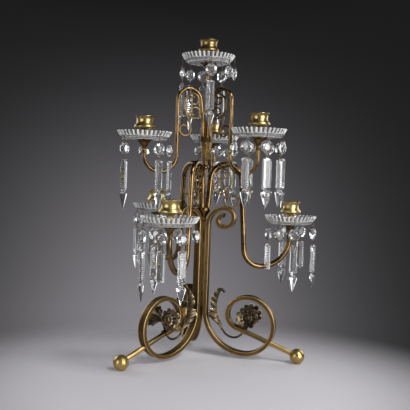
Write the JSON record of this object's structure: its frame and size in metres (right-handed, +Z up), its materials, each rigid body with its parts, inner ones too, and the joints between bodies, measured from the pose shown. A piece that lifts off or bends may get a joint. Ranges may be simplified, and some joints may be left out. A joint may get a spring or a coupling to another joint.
{
  "type": "girandole candle holder",
  "caption": "Tiered girandole candle holder: bar legs with scrolled feet, tube arms with scrolls, glass drip pans under candle sockets, and crystal pendants that swing on wire hooks.",
  "frame": {"origin": "on the standing plane, under the stem's axis", "axes": "+Z up along the stem; -Y towards the viewer of the picture"},
  "size_m": [0.3421, 0.369, 0.5294],
  "materials": {
    "dark_brass": "aged brown patina, low sheen",
    "arm_brass": "rubbed brown patina with bright edges",
    "polished_brass": "worn polish",
    "brown_brass": "dark cast patina",
    "hook_wire": "tarnished wire",
    "cut_glass": "clear cut glass",
    "crystal": "clear cut crystal"
  },
  "bodies": {
    "stand": {"leg_bars": "dark_brass", "foot_rods": "polished_brass", "ball_feet": "polished_brass", "leaf_sprays": "brown_brass", "flower_pairs": "brown_brass", "stem_core": "dark_brass", "arm_socket": "dark_brass", "centre_rod": "arm_brass", "cornet": "dark_brass", "lower_arms": "arm_brass", "upper_arms": "arm_brass", "lower_scrolls": "arm_brass", "upper_scrolls": "arm_brass", "pan_cups": "dark_brass", "glass_pans": "cut_glass", "candle_sockets": "polished_brass", "pendant_hooks": "hook_wire"},
    "top_pendant_1": {"top_pendant_1": "crystal"},
    "top_pendant_2": {"top_pendant_2": "crystal"},
    "top_pendant_3": {"top_pendant_3": "crystal"},
    "top_pendant_4": {"top_pendant_4": "crystal"},
    "top_pendant_5": {"top_pendant_5": "crystal"},
    "top_pendant_6": {"top_pendant_6": "crystal"},
    "top_pendant_7": {"top_pendant_7": "crystal"},
    "upper_back_pendant_1": {"upper_back_pendant_1": "crystal"},
    "upper_back_pendant_2": {"upper_back_pendant_2": "crystal"},
    "upper_back_pendant_3": {"upper_back_pendant_3": "crystal"},
    "upper_back_pendant_4": {"upper_back_pendant_4": "crystal"},
    "upper_back_pendant_5": {"upper_back_pendant_5": "crystal"},
    "upper_left_pendant_1": {"upper_left_pendant_1": "crystal"},
    "upper_left_pendant_2": {"upper_left_pendant_2": "crystal"},
    "upper_left_pendant_3": {"upper_left_pendant_3": "crystal"},
    "upper_left_pendant_4": {"upper_left_pendant_4": "crystal"},
    "upper_left_pendant_5": {"upper_left_pendant_5": "crystal"},
    "upper_right_pendant_1": {"upper_right_pendant_1": "crystal"},
    "upper_right_pendant_2": {"upper_right_pendant_2": "crystal"},
    "upper_right_pendant_3": {"upper_right_pendant_3": "crystal"},
    "upper_right_pendant_4": {"upper_right_pendant_4": "crystal"},
    "upper_right_pendant_5": {"upper_right_pendant_5": "crystal"},
    "upper_right_pendant_6": {"upper_right_pendant_6": "crystal"},
    "upper_right_pendant_7": {"upper_right_pendant_7": "crystal"},
    "lower_back_pendant_1": {"lower_back_pendant_1": "crystal"},
    "lower_back_pendant_2": {"lower_back_pendant_2": "crystal"},
    "lower_back_pendant_3": {"lower_back_pendant_3": "crystal"},
    "lower_back_pendant_4": {"lower_back_pendant_4": "crystal"},
    "lower_front_pendant_1": {"lower_front_pendant_1": "crystal"},
    "lower_front_pendant_2": {"lower_front_pendant_2": "crystal"},
    "lower_front_pendant_3": {"lower_front_pendant_3": "crystal"},
    "lower_front_pendant_4": {"lower_front_pendant_4": "crystal"},
    "lower_front_pendant_5": {"lower_front_pendant_5": "crystal"},
    "lower_front_pendant_6": {"lower_front_pendant_6": "crystal"},
    "lower_right_pendant_1": {"lower_right_pendant_1": "crystal"},
    "lower_right_pendant_2": {"lower_right_pendant_2": "crystal"},
    "lower_right_pendant_3": {"lower_right_pendant_3": "crystal"},
    "lower_right_pendant_4": {"lower_right_pendant_4": "crystal"},
    "lower_right_pendant_5": {"lower_right_pendant_5": "crystal"},
    "lower_right_pendant_6": {"lower_right_pendant_6": "crystal"},
    "lower_right_pendant_7": {"lower_right_pendant_7": "crystal"}
  },
  "joints": [
    {"name": "top_pendant_1_swing", "type": "hinge", "parent": "stand", "child": "top_pendant_1", "pos_m": [0.00468, -0.04455, 0.4848], "axis": [-0.9945, -0.1045, 0], "range_deg": [-10, 25]},
    {"name": "top_pendant_2_swing", "type": "hinge", "parent": "stand", "child": "top_pendant_2", "pos_m": [0.03432, -0.0288, 0.4848], "axis": [-0.6428, -0.766, 0], "range_deg": [-10, 25]},
    {"name": "top_pendant_3_swing", "type": "hinge", "parent": "stand", "child": "top_pendant_3", "pos_m": [0.04447, 0.00546, 0.4848], "axis": [0.1219, -0.9925, 0], "range_deg": [-10, 25]},
    {"name": "top_pendant_4_swing", "type": "hinge", "parent": "stand", "child": "top_pendant_4", "pos_m": [0.0244, 0.03757, 0.4848], "axis": [0.8387, -0.5446, 0], "range_deg": [-10, 25]},
    {"name": "top_pendant_5_swing", "type": "hinge", "parent": "stand", "child": "top_pendant_5", "pos_m": [-0.00855, 0.04398, 0.4848], "axis": [0.9816, 0.1908, 0], "range_deg": [-7, 25]},
    {"name": "top_pendant_6_swing", "type": "hinge", "parent": "stand", "child": "top_pendant_6", "pos_m": [-0.03055, 0.03277, 0.4848], "axis": [0.7314, 0.682, 0], "range_deg": [-10, 25]},
    {"name": "top_pendant_7_swing", "type": "hinge", "parent": "stand", "child": "top_pendant_7", "pos_m": [-0.04306, 0.01235, 0.4848], "axis": [0.2756, 0.9613, 0], "range_deg": [-10, 25]},
    {"name": "upper_back_pendant_1_swing", "type": "hinge", "parent": "stand", "child": "upper_back_pendant_1", "pos_m": [0.04244, 0.14186, 0.3566], "axis": [0.7986, -0.6018, 0], "range_deg": [-10, 25]},
    {"name": "upper_back_pendant_2_swing", "type": "hinge", "parent": "stand", "child": "upper_back_pendant_2", "pos_m": [0.00924, 0.15044, 0.3566], "axis": [0.9903, 0.1392, 0], "range_deg": [-10, 25]},
    {"name": "upper_back_pendant_3_swing", "type": "hinge", "parent": "stand", "child": "upper_back_pendant_3", "pos_m": [-0.01149, 0.0703, 0.3566], "axis": [-0.7986, 0.6018, 0], "range_deg": [-10, 13]},
    {"name": "upper_back_pendant_4_swing", "type": "hinge", "parent": "stand", "child": "upper_back_pendant_4", "pos_m": [0.02171, 0.06171, 0.3566], "axis": [-0.9903, -0.1392, 0], "range_deg": [-5, 25]},
    {"name": "upper_back_pendant_5_swing", "type": "hinge", "parent": "stand", "child": "upper_back_pendant_5", "pos_m": [0.05125, 0.07912, 0.3566], "axis": [-0.6018, -0.7986, 0], "range_deg": [-10, 25]},
    {"name": "upper_left_pendant_1_swing", "type": "hinge", "parent": "stand", "child": "upper_left_pendant_1", "pos_m": [-0.07264, -0.07542, 0.3522], "axis": [-0.7986, -0.6018, 0], "range_deg": [-10, 25]},
    {"name": "upper_left_pendant_2_swing", "type": "hinge", "parent": "stand", "child": "upper_left_pendant_2", "pos_m": [-0.05778, -0.05569, 0.3522], "axis": [-0.3584, -0.9336, 0], "range_deg": [-10, 17]},
    {"name": "upper_left_pendant_3_swing", "type": "hinge", "parent": "stand", "child": "upper_left_pendant_3", "pos_m": [-0.0772, -0.00084, 0.3522], "axis": [0.866, -0.5, 0], "range_deg": [-10, 25]},
    {"name": "upper_left_pendant_4_swing", "type": "hinge", "parent": "stand", "child": "upper_left_pendant_4", "pos_m": [-0.10429, 0.00492, 0.3522], "axis": [0.9945, 0.1045, 0], "range_deg": [-10, 25]},
    {"name": "upper_left_pendant_5_swing", "type": "hinge", "parent": "stand", "child": "upper_left_pendant_5", "pos_m": [-0.1278, -0.07445, 0.3522], "axis": [-0.7771, 0.6293, 0], "range_deg": [-10, 25]},
    {"name": "upper_right_pendant_1_swing", "type": "hinge", "parent": "stand", "child": "upper_right_pendant_1", "pos_m": [0.09421, -0.11009, 0.3608], "axis": [-0.9744, -0.225, 0], "range_deg": [-10, 25]},
    {"name": "upper_right_pendant_2_swing", "type": "hinge", "parent": "stand", "child": "upper_right_pendant_2", "pos_m": [0.11991, -0.0934, 0.3608], "axis": [-0.6018, -0.7986, 0], "range_deg": [-10, 25]},
    {"name": "upper_right_pendant_3_swing", "type": "hinge", "parent": "stand", "child": "upper_right_pendant_3", "pos_m": [0.12083, -0.04074, 0.3608], "axis": [0.5736, -0.8192, 0], "range_deg": [-6, 25]},
    {"name": "upper_right_pendant_4_swing", "type": "hinge", "parent": "stand", "child": "upper_right_pendant_4", "pos_m": [0.10447, -0.02652, 0.3608], "axis": [0.891, -0.454, 0], "range_deg": [-6, 25]},
    {"name": "upper_right_pendant_5_swing", "type": "hinge", "parent": "stand", "child": "upper_right_pendant_5", "pos_m": [0.07329, -0.02297, 0.3608], "axis": [0.9703, 0.2419, 0], "range_deg": [-10, 15]},
    {"name": "upper_right_pendant_6_swing", "type": "hinge", "parent": "stand", "child": "upper_right_pendant_6", "pos_m": [0.04656, -0.04204, 0.3608], "axis": [0.5446, 0.8387, 0], "range_deg": [-10, 11]},
    {"name": "upper_right_pendant_7_swing", "type": "hinge", "parent": "stand", "child": "upper_right_pendant_7", "pos_m": [0.06241, -0.10562, 0.3608], "axis": [-0.8746, 0.4848, 0], "range_deg": [-10, 25]},
    {"name": "lower_back_pendant_1_swing", "type": "hinge", "parent": "stand", "child": "lower_back_pendant_1", "pos_m": [-0.09926, 0.16988, 0.2284], "axis": [0.9659, 0.2588, 0], "range_deg": [-10, 25]},
    {"name": "lower_back_pendant_2_swing", "type": "hinge", "parent": "stand", "child": "lower_back_pendant_2", "pos_m": [-0.12647, 0.14901, 0.2284], "axis": [0.5, 0.866, 0], "range_deg": [-10, 25]},
    {"name": "lower_back_pendant_3_swing", "type": "hinge", "parent": "stand", "child": "lower_back_pendant_3", "pos_m": [-0.11007, 0.08781, 0.2284], "axis": [-0.866, 0.5, 0], "range_deg": [-10, 25]},
    {"name": "lower_back_pendant_4_swing", "type": "hinge", "parent": "stand", "child": "lower_back_pendant_4", "pos_m": [-0.07607, 0.08334, 0.2284], "axis": [-0.9659, -0.2588, 0], "range_deg": [-9, 25]},
    {"name": "lower_front_pendant_1_swing", "type": "hinge", "parent": "stand", "child": "lower_front_pendant_1", "pos_m": [-0.00968, -0.12432, 0.2214], "axis": [0.4848, -0.8746, 0], "range_deg": [-10, 25]},
    {"name": "lower_front_pendant_2_swing", "type": "hinge", "parent": "stand", "child": "lower_front_pendant_2", "pos_m": [-0.03955, -0.10222, 0.2214], "axis": [0.9781, -0.2079, 0], "range_deg": [-10, 25]},
    {"name": "lower_front_pendant_3_swing", "type": "hinge", "parent": "stand", "child": "lower_front_pendant_3", "pos_m": [-0.07326, -0.10847, 0.2214], "axis": [0.8387, 0.5446, 0], "range_deg": [-10, 25]},
    {"name": "lower_front_pendant_4_swing", "type": "hinge", "parent": "stand", "child": "lower_front_pendant_4", "pos_m": [-0.08644, -0.17044, 0.2214], "axis": [-0.5446, 0.8387, 0], "range_deg": [-10, 25]},
    {"name": "lower_front_pendant_5_swing", "type": "hinge", "parent": "stand", "child": "lower_front_pendant_5", "pos_m": [-0.05818, -0.18986, 0.2214], "axis": [-0.9781, 0.2079, 0], "range_deg": [-10, 25]},
    {"name": "lower_front_pendant_6_swing", "type": "hinge", "parent": "stand", "child": "lower_front_pendant_6", "pos_m": [-0.02783, -0.1856, 0.2214], "axis": [-0.8829, -0.4695, 0], "range_deg": [-10, 25]},
    {"name": "lower_right_pendant_1_swing", "type": "hinge", "parent": "stand", "child": "lower_right_pendant_1", "pos_m": [0.15325, -0.01404, 0.2188], "axis": [-0.9986, -0.0523, 0], "range_deg": [-10, 25]},
    {"name": "lower_right_pendant_2_swing", "type": "hinge", "parent": "stand", "child": "lower_right_pendant_2", "pos_m": [0.18805, 0.00565, 0.2188], "axis": [-0.5592, -0.829, 0], "range_deg": [-10, 25]},
    {"name": "lower_right_pendant_3_swing", "type": "hinge", "parent": "stand", "child": "lower_right_pendant_3", "pos_m": [0.19301, 0.04603, 0.2188], "axis": [0.342, -0.9397, 0], "range_deg": [-10, 25]},
    {"name": "lower_right_pendant_4_swing", "type": "hinge", "parent": "stand", "child": "lower_right_pendant_4", "pos_m": [0.17531, 0.06828, 0.2188], "axis": [0.8387, -0.5446, 0], "range_deg": [-10, 25]},
    {"name": "lower_right_pendant_5_swing", "type": "hinge", "parent": "stand", "child": "lower_right_pendant_5", "pos_m": [0.1439, 0.07495, 0.2188], "axis": [0.9877, 0.1564, 0], "range_deg": [-10, 25]},
    {"name": "lower_right_pendant_6_swing", "type": "hinge", "parent": "stand", "child": "lower_right_pendant_6", "pos_m": [0.11211, 0.0083, 0.2188], "axis": [-0.5, 0.866, 0], "range_deg": [-5, 25]},
    {"name": "lower_right_pendant_7_swing", "type": "hinge", "parent": "stand", "child": "lower_right_pendant_7", "pos_m": [0.12784, -0.0077, 0.2188], "axis": [-0.8572, 0.515, 0], "range_deg": [-10, 25]}
  ]
}
